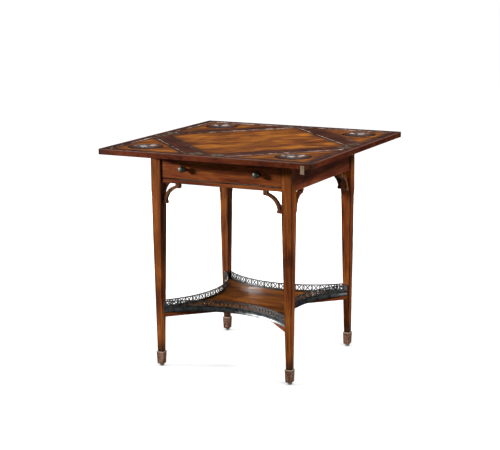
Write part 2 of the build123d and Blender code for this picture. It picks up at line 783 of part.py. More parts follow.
def make_well():
    """Turned dish let into the flap, hollowed as part of a sphere inside a flat rim."""
    mouth = well_radius - well_rim
    ball_radius = (mouth ** 2 + well_depth ** 2) / (2 * well_depth)
    dish = post(well_x, 0, (field_top - well_seat_depth, field_top), well_radius - running_clearance)
    dish = dish - Pos(well_x, 0, field_top - well_depth + ball_radius) * Sphere(ball_radius)
    return fillet(dish.faces().sort_by(Axis.Z)[-1].edges(), well_rim_round)


def make_flap():
    """Flap with its recesses for the dish, the hinge leaves and their screws."""
    seat = post(well_x, 0, (field_top - well_seat_depth, table_height + overrun), well_radius)
    spaces = [leaf_blank(y, 1) for y in hinge_spots()]
    return flap_blank - seat - spaces - flap_leaf_screws


def make_lift_tab():
    """Brass tab let into the front edge near the tip; its flared end hangs below the flap."""
    x = open_half - tab_from_tip
    half = tab_width / 2
    top, low = top_underside + tab_hold, top_underside - tab_hang
    flare_top = low + tab_flare_height
    points = [
        (x - half, top), (x - half, flare_top), (x - half - tab_flare, low),
        (x + half + tab_flare, low), (x + half, flare_top), (x + half, top),
    ]
    plane = Plane(origin=(0, -open_half, 0), x_dir=(1, 0, 0), z_dir=(0, -1, 0))
    tab = extrude(plane * Polygon(*points, align=None), -tab_thickness)
    return fillet(tab.edges().filter_by(Axis.Y).group_by(Axis.Z)[0], tab_flare)


def make_tab_screw():
    """Countersunk screw of the lift tab."""
    screw = flat_screw(hinge_screw_head_radius, hinge_screw_shank_radius, hinge_screw_length)
    origin = (open_half - tab_from_tip, -open_half, top_underside + tab_hold / 2)
    return Plane(origin=origin, x_dir=(1, 0, 0), z_dir=(0, -1, 0)) * screw


flap_master = make_flap()
well_master = make_well()
links = [make_link(y) for y in hinge_spots()]
lift_tab = make_lift_tab()
tab_screw = make_tab_screw()
for corner, turn in flap_angles.items():
    flap = turned(flap_master, turn)
    screws = [turned(screw, turn) for screw in flap_leaf_screws]
    if corner == "front_right":
        slot = block(
            (open_half - tab_from_tip - tab_width / 2, open_half - tab_from_tip + tab_width / 2),
            (-open_half - overrun, tab_thickness - open_half),
            (top_underside - overrun, top_underside + tab_hold),
        )
        flap = flap - slot - tab_screw
        screws.append(tab_screw)
    save(f"flap_{corner}", flap)
    save(f"counter_well_{corner}", turned(well_master, turn))
    save(f"flap_hinge_leaves_{corner}", *[turned(leaf, turn) for leaf in flap_leaves])
    save(f"flap_screws_{corner}", *screws)
    save(f"hinge_links_{corner}", *[turned(link, turn) for link in links])
save("lift_tab", lift_tab - tab_screw)
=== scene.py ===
# %% [markdown]
# # A mahogany envelope card table
# The table is already built as solid pieces at their real size. Here each piece gets its finish,
# and small parts that are too fine for the solids are modelled. Everything is in metres, with the
# origin on the floor under the middle of the top and the drawer facing minus Y.

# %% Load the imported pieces
import math
import random

import bmesh
import bpy
from mathutils import Matrix, Vector


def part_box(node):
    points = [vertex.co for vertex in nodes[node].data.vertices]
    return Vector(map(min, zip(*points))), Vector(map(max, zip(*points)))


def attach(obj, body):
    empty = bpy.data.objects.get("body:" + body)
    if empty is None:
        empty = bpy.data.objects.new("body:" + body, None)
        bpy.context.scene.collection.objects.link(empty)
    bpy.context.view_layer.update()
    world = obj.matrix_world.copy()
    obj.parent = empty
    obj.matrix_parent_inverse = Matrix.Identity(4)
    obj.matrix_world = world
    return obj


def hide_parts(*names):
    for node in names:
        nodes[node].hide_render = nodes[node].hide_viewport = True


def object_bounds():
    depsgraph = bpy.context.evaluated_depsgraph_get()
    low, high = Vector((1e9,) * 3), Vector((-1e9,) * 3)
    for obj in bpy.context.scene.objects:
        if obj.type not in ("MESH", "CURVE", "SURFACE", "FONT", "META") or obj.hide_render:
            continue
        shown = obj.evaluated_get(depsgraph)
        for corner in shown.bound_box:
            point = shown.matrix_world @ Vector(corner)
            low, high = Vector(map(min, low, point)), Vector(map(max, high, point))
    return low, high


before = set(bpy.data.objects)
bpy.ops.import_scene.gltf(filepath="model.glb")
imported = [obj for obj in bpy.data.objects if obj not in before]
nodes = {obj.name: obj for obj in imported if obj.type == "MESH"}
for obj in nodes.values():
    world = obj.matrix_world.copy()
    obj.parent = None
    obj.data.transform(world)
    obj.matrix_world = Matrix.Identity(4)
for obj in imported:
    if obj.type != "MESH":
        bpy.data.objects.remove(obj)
solid_box = [list(corner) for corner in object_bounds()]
mm = 0.001
print(len(nodes), "pieces; whole object from", solid_box[0], "to", solid_box[1])

# %% [markdown]
# ## Camera
# The table stands turned a little to the left of the lens, and is seen from slightly above. A long
# lens far away keeps its verticals nearly parallel, as in furniture photographs. The place, the three
# angles and the lens were worked out from the corners of the top and the feet. An empty target would
# be simpler, but angles keep the small roll of the picture.

# %% Camera
camera_place = Vector((2.11181, -4.20705, 1.45210))
camera_heading = math.radians(26.891)
camera_tilt = math.radians(-11.827)
camera_roll = math.radians(-0.497)

camera_data = bpy.data.cameras.new("camera")
camera_data.sensor_width = 36.0
camera_data.lens = 100.577
camera = bpy.data.objects.new("camera", camera_data)
bpy.context.scene.collection.objects.link(camera)
turn_to_heading = Matrix.Rotation(camera_heading, 4, "Z")
turn_to_level = Matrix.Rotation(math.pi / 2 + camera_tilt, 4, "X")
turn_roll = Matrix.Rotation(camera_roll, 4, "Z")
camera.matrix_world = Matrix.Translation(camera_place) @ turn_to_heading @ turn_to_level @ turn_roll
bpy.context.scene.camera = camera
bpy.context.scene.view_settings.view_transform = "Standard"
print("camera", round(camera_place.length, 2), "m from the origin")

# %% [markdown]
# ## Two small helpers
# Colours are written as the hex values that a picture editor shows, but shaders work in linear light,
# so one function turns one into the other. A second function adds any node to a material: its inputs
# may be numbers, colours, or other nodes, and then they are linked. A colour ramp is also given its
# stops, each with a position and a colour. A node editor shows the same nodes as boxes, but a script
# can be read from top to bottom.

# %% Colour and node helpers
def linear(hex_colour):
    """Linear RGBA of an sRGB hex colour."""
    channels = [int(hex_colour[i:i + 2], 16) / 255 for i in (1, 3, 5)]
    return [c / 12.92 if c <= 0.04045 else ((c + 0.055) / 1.055) ** 2.4 for c in channels] + [1.0]


def add_node(material, kind, inputs=None, stops=(), **settings):
    """Adds a node; an input may be a value, a socket, or a node whose first output is meant."""
    tree = material.node_tree
    node = tree.nodes.new(kind)
    for name, value in settings.items():
        setattr(node, name, value)
    while stops and len(node.color_ramp.elements) < len(stops):
        node.color_ramp.elements.new(0.5)
    for index, (position, colour) in enumerate(stops):
        node.color_ramp.elements[index].position = position
        node.color_ramp.elements[index].color = linear(colour)
    for place, value in (inputs or {}).items():
        if isinstance(value, bpy.types.Node):
            value = value.outputs[0]
        if isinstance(value, bpy.types.NodeSocket):
            tree.links.new(value, node.inputs[place])
        else:
            node.inputs[place].default_value = value
    return node


print("mid brown in linear light:", [round(c, 3) for c in linear("#965C24")])

# %% [markdown]
# ## Floor
# A wide, pale, slightly glossy floor, as a seamless paper sweep under a studio table would be. It
# fills the picture behind the table too, because the camera looks down on it. White paper close to dark
# polished wood would veil it with its own reflection, so photographers lay black cloth just outside the
# picture, or cut the table out. Here the paper looks white to the lens and sends on only a part of its
# light to the table. It glows a little less near the table, so that soft shadows show round the feet.

# %% Floor
floor_half = 30.0
glow_start = 0.6  # distances from the middle between which the paper brightens
glow_end = 4.0
contact_reach = 0.16  # how far round a foot its soft shadow spreads

floor_mesh = bpy.data.meshes.new("floor")
floor_build = bmesh.new()
bmesh.ops.create_grid(floor_build, x_segments=4, y_segments=4, size=floor_half)
floor_build.to_mesh(floor_mesh)
floor_build.free()
floor = bpy.data.objects.new("floor", floor_mesh)
bpy.context.scene.collection.objects.link(floor)
paper = bpy.data.materials.new("pale_satin_paper")
paper.use_nodes = True
paper.node_tree.nodes.clear()
floor_place = add_node(paper, "ShaderNodeTexCoord").outputs["Object"]
floor_distance = add_node(paper, "ShaderNodeVectorMath", {0: floor_place}, operation="LENGTH")
floor_glow = add_node(
    paper, "ShaderNodeMapRange",
    {"Value": floor_distance.outputs["Value"], "From Min": glow_start, "From Max": glow_end,
     "To Min": 0.72, "To Max": 0.97},
)
floor_open = add_node(paper, "ShaderNodeAmbientOcclusion", {"Distance": contact_reach}, samples=12)
contact = add_node(
    paper, "ShaderNodeMapRange", {"Value": floor_open.outputs["AO"], "From Min": 0.4, "To Min": 0.35},
)
contact_glow = add_node(paper, "ShaderNodeMath", {0: floor_glow, 1: contact}, operation="MULTIPLY")
paper_seen = add_node(
    paper, "ShaderNodeBsdfPrincipled",
    {"Base Color": linear("#8C8C8B"), "Roughness": 0.5, "Specular IOR Level": 0.2,
     "Emission Color": linear("#FFFFFF"), "Emission Strength": contact_glow},
)
paper_bounce = add_node(paper, "ShaderNodeBsdfDiffuse", {"Color": linear("#525150")})
seen_first = add_node(paper, "ShaderNodeLightPath").outputs["Is Camera Ray"]
paper_mix = add_node(paper, "ShaderNodeMixShader", {0: seen_first, 1: paper_bounce, 2: paper_seen})
add_node(paper, "ShaderNodeOutputMaterial", {"Surface": paper_mix})
floor_mesh.materials.append(paper)
print("floor", 2 * floor_half, "m wide")

# %% [markdown]
# ## Light
# Soft studio light. A wide box overhead lights the top, and a box far to the left, only a little above
# the top, skims the drawer, so that the flaps shade its upper part and the knobs cast long shadows. A
# third box lights the right-hand faces. It is hidden from reflections, or the top would flare when it
# is seen from the left, and a small box low down gives the gallery its shine instead. Four boxes in a
# row high behind the table give each polished dish its pair of white reflections, and a small low one
# the bright spot on the shelf. A long box near the floor behind the table lights its back, where the
# lens never sees it reflected. One lamp would be simpler, but its shadows would be hard.

# %% Light boxes
def add_softbox(name, place, aim, size, watts):
    """Rectangular light at a place, turned towards a point."""
    data = bpy.data.lights.new(name, "AREA")
    data.shape = "RECTANGLE"
    data.size, data.size_y = size
    data.energy = watts
    box = bpy.data.objects.new(name, data)
    bpy.context.scene.collection.objects.link(box)
    box.location = place
    box.visible_camera = False
    box.rotation_euler = (Vector(aim) - Vector(place)).to_track_quat("-Z", "Y").to_euler()
    return box


def behind(distance, aside_degrees, elevation_degrees, height):
    """Place behind the table as seen from the camera, from a point at a height on the swivel's axis."""
    heading = camera_heading - math.radians(aside_degrees)
    level = Vector((-math.sin(heading), math.cos(heading), 0.0)) * distance
    return level + Vector((0.0, 0.0, height + distance * math.tan(math.radians(elevation_degrees))))


table_middle = (0.0, 0.0, 0.5)
drawer_middle = (0.0, -0.2, 0.55)
gallery_middle = (0.0, 0.0, 0.17)
top_height = solid_box[1][2]
top_middle = (0.0, 0.0, top_height)
shelf_middle = (0.0, 0.0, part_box("undertier_shelf")[1].z)
dish_box_distance = 6.0
dish_box_elevation = 37.0
dish_boxes_aside = (-16.3, -5.7, 5.7, 16.3)
back_box_place = behind(3.2, 0.0, 0.0, 0.14)

# Each box has its place, the point that it faces, its width and height in metres, and its watts.
softboxes = {
    "overhead_box": ((-0.4, 0.3, 3.6), table_middle, (2.4, 2.4), 73),
    "left_skimming_box": ((-4.2, -1.95, 1.42), drawer_middle, (0.7, 0.16), 620),
    "right_box": ((3.0, -0.55, 2.6), table_middle, (0.8, 0.8), 194),
    "right_low_box": ((2.6, -0.9, 0.30), gallery_middle, (0.6, 0.3), 9),
}
for number, aside in enumerate(dish_boxes_aside, start=1):
    dish_box_place = behind(dish_box_distance, aside, dish_box_elevation, top_height)
    softboxes[f"dish_box_{number}"] = (dish_box_place, top_middle, (0.7, 0.8), 7)
softboxes["shelf_box"] = ((-0.752, 1.482, 0.586), shelf_middle, (0.05, 0.04), 0.025)
softboxes["back_floor_box"] = (back_box_place, table_middle, (2.6, 0.2), 60)
boxes = {name: add_softbox(name, *settings) for name, settings in softboxes.items()}
boxes["right_box"].visible_glossy = False
print(len(boxes), "light boxes")

# %% [markdown]
# ## World
# The world is what polished wood mirrors where no light box stands. It is an even dim grey, and darker
# behind the table, where the flat top would mirror it and look washed out. The lens itself sees plain
# white. A picture of a room would give livelier reflections, but it would be an image from elsewhere.

# %% World
dark_to = math.sin(math.radians(16))
grey_from = math.sin(math.radians(26))

world = bpy.data.worlds.new("studio")
world.use_nodes = True
world.node_tree.nodes.clear()
direction = add_node(world, "ShaderNodeTexCoord").outputs["Generated"]
back = Vector((-math.sin(camera_heading), math.cos(camera_heading), 0.0))
backness = add_node(world, "ShaderNodeVectorMath", {0: direction, 1: back}, operation="DOT_PRODUCT")
behind_share = add_node(
    world, "ShaderNodeMapRange", {"Value": backness.outputs["Value"], "From Min": 0.2, "From Max": 0.6},
)
rise = add_node(world, "ShaderNodeSeparateXYZ", {0: direction}).outputs["Z"]
height_share = add_node(
    world, "ShaderNodeMapRange",
    {"Value": rise, "From Min": dark_to, "From Max": grey_from, "To Min": 1.0, "To Max": 0.0},
)
dark_share = add_node(world, "ShaderNodeMath", {0: behind_share, 1: height_share}, operation="MULTIPLY")
dimming = add_node(world, "ShaderNodeMapRange", {"Value": dark_share, "To Min": 0.13, "To Max": 0.012})
world_light = add_node(world, "ShaderNodeBackground", {"Color": linear("#F4F6FA"), "Strength": dimming})
world_seen = add_node(world, "ShaderNodeBackground", {"Color": linear("#FFFFFF"), "Strength": 1.0})
first_seen = add_node(world, "ShaderNodeLightPath").outputs["Is Camera Ray"]
world_mix = add_node(world, "ShaderNodeMixShader", {0: first_seen, 1: world_light, 2: world_seen})
add_node(world, "ShaderNodeOutputWorld", {"Surface": world_mix})
bpy.context.scene.world = world
print("world dark behind up to", round(math.degrees(math.asin(dark_to))), "degrees")

# %% [markdown]
# ## Wood grain
# All the woods here share one way of being drawn. A board's grain runs along one direction, so a
# noise texture is squeezed across it and stretched along it. Four layers are used: soft mottling as
# wide as a hand, broad colour bands, finer streaks, and the short dark pores of mahogany. The real pores
# are about a quarter of a millimetre wide, and are drawn at half a millimetre so that they show. An
# image of wood would be quicker, but a procedure follows each piece's own direction and has no seams.

# %% Wood grain layers
def grain_layer(material, place, width_mm, length_share, detail, wander):
    """One layer of grain: noise as wide as given across the grain, and longer along it."""
    squeezed = add_node(
        material, "ShaderNodeVectorMath", {0: place, 1: (length_share, 1.0, 1.0)}, operation="MULTIPLY",
    )
    return add_node(
        material, "ShaderNodeTexNoise",
        {"Vector": squeezed, "Scale": 1 / (width_mm * mm), "Detail": detail, "Roughness": 0.55,
         "Distortion": wander},
    ).outputs[0]


def wood_grain(
    material, place, band_mm, streak_mm, pore_mm=0.5, mottle_mm=70, length_share=0.07, streak_share=0.45,
):
    """Tone from 0 to 1 and pores of wood; the X axis of the place, in metres, runs along the grain."""
    broad = grain_layer(material, place, band_mm, length_share, 3.0, 0.8)
    streaks = grain_layer(material, place, streak_mm, 0.045, 4.0, 0.3)
    pores = grain_layer(material, place, pore_mm, 0.08, 1.0, 0.0)
    mottle = grain_layer(material, place, mottle_mm, 0.45, 2.0, 0.5)
    lines = add_node(
        material, "ShaderNodeMix", {"Factor": streak_share, "A": broad, "B": streaks}, data_type="FLOAT",
    )
    mixed = add_node(material, "ShaderNodeMix", {"Factor": 0.35, "A": lines, "B": mottle}, data_type="FLOAT")
    tone = add_node(material, "ShaderNodeMapRange", {"Value": mixed, "From Min": 0.37, "From Max": 0.62})
    pore_mask = add_node(
        material, "ShaderNodeMapRange",
        {"Value": pores, "From Min": 0.60, "From Max": 0.72}, interpolation_type="SMOOTHSTEP",
    )
    return tone, pore_mask


print("grain helpers ready")

# %% [markdown]
# ## Patina and painted shade
# On an old polished table, wax and dust darken every inner corner and joint, and shade falls there too.
# The ambient occlusion node measures how shut in a point is, and where it is, a near-black brown is laid
# over the wood as patina and painted shade together. It could be painted by hand for one picture, but
# this follows the shape from every side. The same small function lays on every other mark of dirt, wear
# and painted light, by any value: a height, a distance or a noise.

# %% Patina, painted shade and polish helpers
# Near-black brown for patina, dust and painted shade.
patina_and_shade_brown = "#120804"


def stain_and_painted_light(material, colour, value, start, full, share, stain_colour, smooth=False):
    """Tints a colour with dirt, wear or painted light: none at the start value, its whole share at full."""
    mask = add_node(
        material, "ShaderNodeMapRange",
        {"Value": value, "From Min": start, "From Max": full, "To Max": share},
        interpolation_type="SMOOTHSTEP" if smooth else "LINEAR",
    )
    return add_node(
        material, "ShaderNodeMixRGB", {"Fac": mask, "Color1": colour, "Color2": linear(stain_colour)},
    )


def darken_corners(material, colour, reach_mm, share=0.85):
    """Stains a colour with patina and painted shade where other surfaces stand close."""
    shut_in = add_node(material, "ShaderNodeAmbientOcclusion", {"Distance": reach_mm * mm}, samples=12)
    # Where a point is shut in, the near-black is patina and painted shade together.
    return stain_and_painted_light(material, colour, shut_in.outputs["AO"], 0.88, 0.30, share, patina_and_shade_brown)


def polish(
    material, colour, pores, roughness=0.42, gloss=0.12, coat=0.14, coat_roughness=0.09, relief_mm=0.05,
):
    """Wood under clear polish: a satin base with sunk pores below a smoother coat."""
    bump = add_node(
        material, "ShaderNodeBump", {"Height": pores, "Distance": relief_mm * mm, "Strength": 0.5},
        invert=True,
    )
    shader = add_node(
        material, "ShaderNodeBsdfPrincipled",
        {"Base Color": colour, "Roughness": roughness, "IOR": 1.5, "Specular IOR Level": gloss,
         "Specular Tint": linear("#E0A070"), "Coat Weight": coat, "Coat Roughness": coat_roughness,
         "Coat IOR": 1.5, "Normal": bump},
    )
    add_node(material, "ShaderNodeOutputMaterial", {"Surface": shader})
    return material


def new_material(name):
    """Empty node material."""
    material = bpy.data.materials.new(name)
    material.use_nodes = True
    material.node_tree.nodes.clear()
    return material


quarter_turn = math.pi / 2
grain_turns = {
    "x": (0.0, 0.0, 0.0),
    "y": (0.0, 0.0, -quarter_turn),
    "z": (0.0, quarter_turn, 0.0),
    "rising": (0.0, 0.0, -quarter_turn / 2),
    "falling": (0.0, 0.0, quarter_turn / 2),
}


def along_grain(material, direction, shift=(0.0, 0.0, 0.0)):
    """Object place turned so that its X axis runs along the grain."""
    place = add_node(material, "ShaderNodeTexCoord").outputs["Object"]
    return add_node(
        material, "ShaderNodeMapping",
        {"Vector": place, "Rotation": grain_turns[direction], "Location": shift},
    )


def height_of(material):
    """Height of a point above the floor."""
    place = add_node(material, "ShaderNodeTexCoord").outputs["Object"]
    return add_node(material, "ShaderNodeSeparateXYZ", {0: place}).outputs["Z"]


print("polish helpers ready")

# %% [markdown]
# ## Mahogany, French polished
# Solid mahogany is red brown with fine dark pores. Shellac rubbed on in many thin layers gives it a
# deep gloss: light passes the clear coat and comes back coloured. One function makes it for any grain
# direction, so that each rail, stretcher and bracket is cut along its own length. A single material
# would be simpler, but its grain would run across some of the boards.

# %% Mahogany for rails, stretchers and brackets
pore_brown = "#2A120A"
rail_tones = ((0.0, "#32130A"), (0.35, "#50230F"), (0.65, "#69341A"), (1.0, "#83481F"))
side_tones = ((0.0, "#3D1A10"), (0.35, "#5D2A19"), (0.65, "#753B20"), (1.0, "#935128"))


def polished_mahogany(
    name, direction, tones=rail_tones, corner_mm=14, shift=(0.0, 0.0, 0.0), dark_edge=None, gloss=0.12,
):
    """French polished mahogany, grain along one direction, and perhaps painted gap shade on one edge."""
    material = new_material(name)
    place = along_grain(material, direction, shift)
    tone, pores = wood_grain(material, place, band_mm=16, streak_mm=3.2)
    colour = add_node(material, "ShaderNodeValToRGB", {"Fac": tone}, stops=tones)
    pored = add_node(
        material, "ShaderNodeMixRGB", {"Fac": pores, "Color1": colour, "Color2": linear(pore_brown)},
    )
    # A dark edge is painted shade of the gap between the drawer and the rail.
    if dark_edge is not None:
        pored = stain_and_painted_light(material, pored, height_of(material), *dark_edge, 0.95, patina_and_shade_brown)
    return polish(material, darken_corners(material, pored, corner_mm), pores, gloss=gloss)


# How far the painted shade of the gap under the drawer reaches on the rail and on the drawer.
rail_gap_shade_height = 2.4 * mm
drawer_gap_shade_height = 1.5 * mm
drawer_gap_shade_full = 0.5 * mm
rail_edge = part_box("front_bottom_rail")[1].z
drawer_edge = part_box("drawer_front")[0].z
drawer_tones = ((0.0, "#371408"), (0.35, "#58260F"), (0.65, "#703716"), (1.0, "#8B4D1D"))
bracket_tones = ((0.0, "#2C140B"), (0.35, "#492715"), (0.65, "#5C3925"), (1.0, "#714D35"))
rail_mahogany = polished_mahogany("mahogany_french_polished_rail", "x")
side_mahogany = polished_mahogany("mahogany_french_polished_side", "y", side_tones, shift=(0.4, 0.1, 0.0))
drawer_mahogany = polished_mahogany(
    "mahogany_french_polished_drawer", "x", drawer_tones, shift=(0.9, 0.0, 0.3),
    dark_edge=(drawer_edge + drawer_gap_shade_height, drawer_edge + drawer_gap_shade_full),
)
low_rail_mahogany = polished_mahogany(
    "mahogany_french_polished_low_rail", "x", shift=(0.2, 0.0, 0.5),
    dark_edge=(rail_edge - rail_gap_shade_height, rail_edge - rail_gap_shade_height / 2),
)
bracket_mahogany = polished_mahogany("mahogany_french_polished_bracket", "z", bracket_tones, corner_mm=10)
rising_mahogany = polished_mahogany("mahogany_french_polished_rising", "rising")
falling_mahogany = polished_mahogany("mahogany_french_polished_falling", "falling")
print("mahogany for five directions")

# %% [markdown]
# ## Legs
# The legs are the same mahogany, but years of polishing have left the middle of each face golden and
# the arrises nearly black. The leg tapers, so the shader works out the middle and the half width of the
# leg at each height from the taper, and measures how near a point is to an arris. Vertex colours would
# need more vertices than the solid has. Floor wax and dust have darkened the ankles, and a ring of dust
# lies on each foot's collar. The back left leg is a shade paler than the others.

# %% Leg mahogany
leg_low, leg_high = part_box("leg_back_right")
collar_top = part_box("spade_foot_back_right")[1].z
soiled_height = 60.0 * mm
dust_ring_height = 5.0 * mm
dust_ring_full = 3.0 * mm
leg_outer_face = leg_high.x
leg_block_size = leg_high.x - leg_low.x
leg_ankle_height = leg_low.z
leg_ankle_size = 20.0 * mm
leg_ankle_inset = 6.5 * mm
leg_taper_top = 569.5 * mm
leg_tones = ((0.0, "#321406"), (0.30, "#54260E"), (0.60, "#6E3914"), (1.0, "#8B5020"))
old_leg_tones = ((0.0, "#35180A"), (0.30, "#562A12"), (0.60, "#6E3C18"), (1.0, "#8C5222"))


def taper_share(material, height):
    """0 at the top of the taper, 1 at the ankle."""
    return add_node(
        material, "ShaderNodeMapRange",
        {"Value": height, "From Min": leg_taper_top, "From Max": leg_ankle_height},
    )


def arris_nearness(material):
    """0 in the middle of each face of a leg, 1 at its arrises."""
    place = add_node(material, "ShaderNodeTexCoord").outputs["Object"]
    size = add_node(material, "ShaderNodeVectorMath", {0: place}, operation="ABSOLUTE")
    parts = add_node(material, "ShaderNodeSeparateXYZ", {0: size})
    share = taper_share(material, parts.outputs["Z"])
    half = add_node(
        material, "ShaderNodeMapRange",
        {"Value": share, "To Min": leg_block_size / 2, "To Max": leg_ankle_size / 2},
    )
    middle = add_node(
        material, "ShaderNodeMapRange",
        {"Value": share, "To Min": leg_outer_face - leg_block_size / 2,
         "To Max": leg_outer_face - leg_ankle_inset - leg_ankle_size / 2},
    )
    nearness = []
    for axis in ("X", "Y"):
        off = add_node(material, "ShaderNodeMath", {0: parts.outputs[axis], 1: middle}, operation="SUBTRACT")
        ratio = add_node(material, "ShaderNodeMath", {0: off, 1: half}, operation="DIVIDE")
        nearness.append(add_node(material, "ShaderNodeMath", {0: ratio}, operation="ABSOLUTE"))
    return add_node(material, "ShaderNodeMath", {0: nearness[0], 1: nearness[1]}, operation="MINIMUM")


def leg_mahogany(name, tones):
    """Mahogany that is golden along the middle of the faces and dark at the arrises."""
    material = new_material(name)
    place = along_grain(material, "z")
    tone, pores = wood_grain(material, place, band_mm=11, streak_mm=4.5)
    colour = add_node(material, "ShaderNodeValToRGB", {"Fac": tone}, stops=tones)
    ragged = add_node(
        material, "ShaderNodeMath", {0: tone, 1: -0.30, 2: arris_nearness(material)},
        operation="MULTIPLY_ADD",
    )
    edged = stain_and_painted_light(material, colour, ragged, 0.40, 0.88, 0.85, "#2B0F06", smooth=True)
    pored = add_node(
        material, "ShaderNodeMixRGB", {"Fac": pores, "Color1": edged, "Color2": linear(pore_brown)},
    )
    height = height_of(material)
    soil_start = collar_top + soiled_height
    soiled = stain_and_painted_light(material, pored, height, soil_start, collar_top, 0.8, "#24160F", smooth=True)
    ring = (collar_top + dust_ring_height, collar_top + dust_ring_full)
    ringed = stain_and_painted_light(material, soiled, height, *ring, 0.95, patina_and_shade_brown)
    # The long reach also paints the shade that falls under the brackets.
    return polish(material, darken_corners(material, ringed, 24), pores)


leg_wood = leg_mahogany("mahogany_french_polished_leg", leg_tones)
old_leg_wood = leg_mahogany("mahogany_french_polished_old_leg", old_leg_tones)
print("leg block", round(leg_block_size / mm, 1), "mm; ankle at", round(leg_ankle_height / mm, 1), "mm")

# %% [markdown]
# ## Spade feet
# Shoes have scuffed the spade feet pale and matt, most along the top of the collar. The scuffs could be
# modelled as dents, but they are shallower than a pixel, so spots of noise 5 mm wide are laid over the
# grain, and a pale stain follows the collar's height.

# %% Foot mahogany
foot_tones = ((0.0, "#25160F"), (0.35, "#46291C"), (0.65, "#5F4030"), (1.0, "#7C5C48"))
scuff_width = 5 * mm
pale_rim_start = 3.5 * mm
pale_rim_full = 1.5 * mm


def foot_mahogany():
    """Scuffed mahogany of the spade feet, pale along the collar's top."""
    material = new_material("mahogany_scuffed_foot")
    tone, pores = wood_grain(material, along_grain(material, "z"), band_mm=9, streak_mm=2.5)
    colour = add_node(material, "ShaderNodeValToRGB", {"Fac": tone}, stops=foot_tones)
    place = add_node(material, "ShaderNodeTexCoord").outputs["Object"]
    spots = add_node(
        material, "ShaderNodeTexNoise", {"Vector": place, "Scale": 1 / scuff_width, "Detail": 4.0},
    )
    scuffed = stain_and_painted_light(material, colour, spots, 0.48, 0.68, 0.42, "#A08C7A")
    rim = (collar_top - pale_rim_start, collar_top - pale_rim_full)
    rimmed = stain_and_painted_light(material, scuffed, height_of(material), *rim, 0.55, "#A99787")
    return polish(material, rimmed, pores, roughness=0.5)


foot_wood = foot_mahogany()
print("foot collar's top at", round(collar_top / mm, 1), "mm")

# %% [markdown]
# ## The veneered top
# Every board of the top is veneered: a golden, streaky field, and round it a raised border of dark
# mahogany laid crossways, so that its grain points at the edge. The shader finds out for each point how
# far it is from the table's outer edge and from the nearest hinge line, and picks field or border and
# the direction of the grain. The border's joints are mitred where the two distances are equal. A
# picture of the pattern could be laid on instead, but distances stay sharp however near the lens is.

# %% Where a point lies on the top
hinge_line = 271.5 * mm
border_width = 26.0 * mm
joint_blur = 0.3 * mm
open_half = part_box("flap_front_right")[1].x


def far_and_near(material, vector):
    """Larger and smaller of a vector's level distances from the middle, and its height."""
    size = add_node(material, "ShaderNodeVectorMath", {0: vector}, operation="ABSOLUTE")
    x, y, height = add_node(material, "ShaderNodeSeparateXYZ", {0: size}).outputs
    far = add_node(material, "ShaderNodeMath", {0: x, 1: y}, operation="MAXIMUM")
    near = add_node(material, "ShaderNodeMath", {0: x, 1: y}, operation="MINIMUM")
    return far, near, height


def map_top(material):
    """Distances and grain places of a point on the open top, by name."""
    place = add_node(material, "ShaderNodeTexCoord").outputs["Object"]
    diagonal = add_node(
        material, "ShaderNodeVectorRotate", {"Vector": place, "Angle": -math.pi / 4}, rotation_type="Z_AXIS",
    )
    edge_far, edge_near, height = far_and_near(material, place)
    hinge_far, hinge_near, _ = far_and_near(material, diagonal)
    from_edge = add_node(material, "ShaderNodeMath", {0: open_half, 1: edge_far}, operation="SUBTRACT")
    past_line = add_node(material, "ShaderNodeMath", {0: hinge_far, 1: hinge_line}, operation="SUBTRACT")
    from_line = add_node(material, "ShaderNodeMath", {0: past_line}, operation="ABSOLUTE")
    nearer_edge = add_node(material, "ShaderNodeMath", {0: from_edge, 1: from_line}, operation="LESS_THAN")
    nearest = add_node(material, "ShaderNodeMath", {0: from_edge, 1: from_line}, operation="MINIMUM")
    border = add_node(
        material, "ShaderNodeMapRange",
        {"Value": nearest, "From Min": border_width + joint_blur, "From Max": border_width - joint_blur},
    )
    by_line = add_node(material, "ShaderNodeCombineXYZ", {"X": hinge_far, "Y": hinge_near, "Z": height})
    by_edge = add_node(material, "ShaderNodeCombineXYZ", {"X": edge_far, "Y": edge_near, "Z": height})
    across = add_node(
        material, "ShaderNodeMixRGB", {"Fac": nearer_edge, "Color1": by_line, "Color2": by_edge},
    )
    return {
        "place": place, "height": height, "from_edge": from_edge, "edge_near": edge_near,
        "nearest": nearest, "border": border, "along_field": diagonal, "across_border": across,
    }


print("top", round(2 * open_half / mm, 1), "mm square, border", round(border_width / mm), "mm wide")

# %% [markdown]
# ## Field and border
# The field is golden with dark streaks. Painted shade darkens it softly towards the raised border,
# dirt and painted shade darken the groove along it, and the border is nearly black at its inner line.
# These marks could be painted on a picture, but by distance they run true along every border.

# %% Field and border colours
field_tones = ((0.03, "#331406"), (0.34, "#56290A"), (0.62, "#774311"), (0.95, "#9E601B"))
border_tones = ((0.0, "#170604"), (0.35, "#2A0F08"), (0.65, "#3C1A0D"), (1.0, "#4D2716"))
line_width = 5.0 * mm
groove_full = border_width + 1.6 * line_width
groove_end = border_width + 3.2 * line_width
# A fainter painted shade reaches this far into the field from the border.
border_shade_end = border_width + 48.0 * mm


def field_colour(material, nearest, tone):
    """Golden field, with painted shade towards the raised border and dirt and painted shade in its groove."""
    field = add_node(material, "ShaderNodeValToRGB", {"Fac": tone}, stops=field_tones)
    # Painted shade, soft and wide, towards the border.
    border_shaded = stain_and_painted_light(material, field, nearest, border_shade_end, border_width, 0.6, "#2E130A", smooth=True)
    # Dirt and painted shade in the groove at the foot of the border.
    return stain_and_painted_light(material, border_shaded, nearest, groove_end, groove_full, 0.92, "#170905", smooth=True)


def border_colour(material, nearest, tone):
    """Dark crossbanding, nearly black along its inner line."""
    banding = add_node(material, "ShaderNodeValToRGB", {"Fac": tone}, stops=border_tones)
    line_start = border_width - line_width
    return stain_and_painted_light(material, banding, nearest, line_start, border_width, 0.9, "#120705", smooth=True)


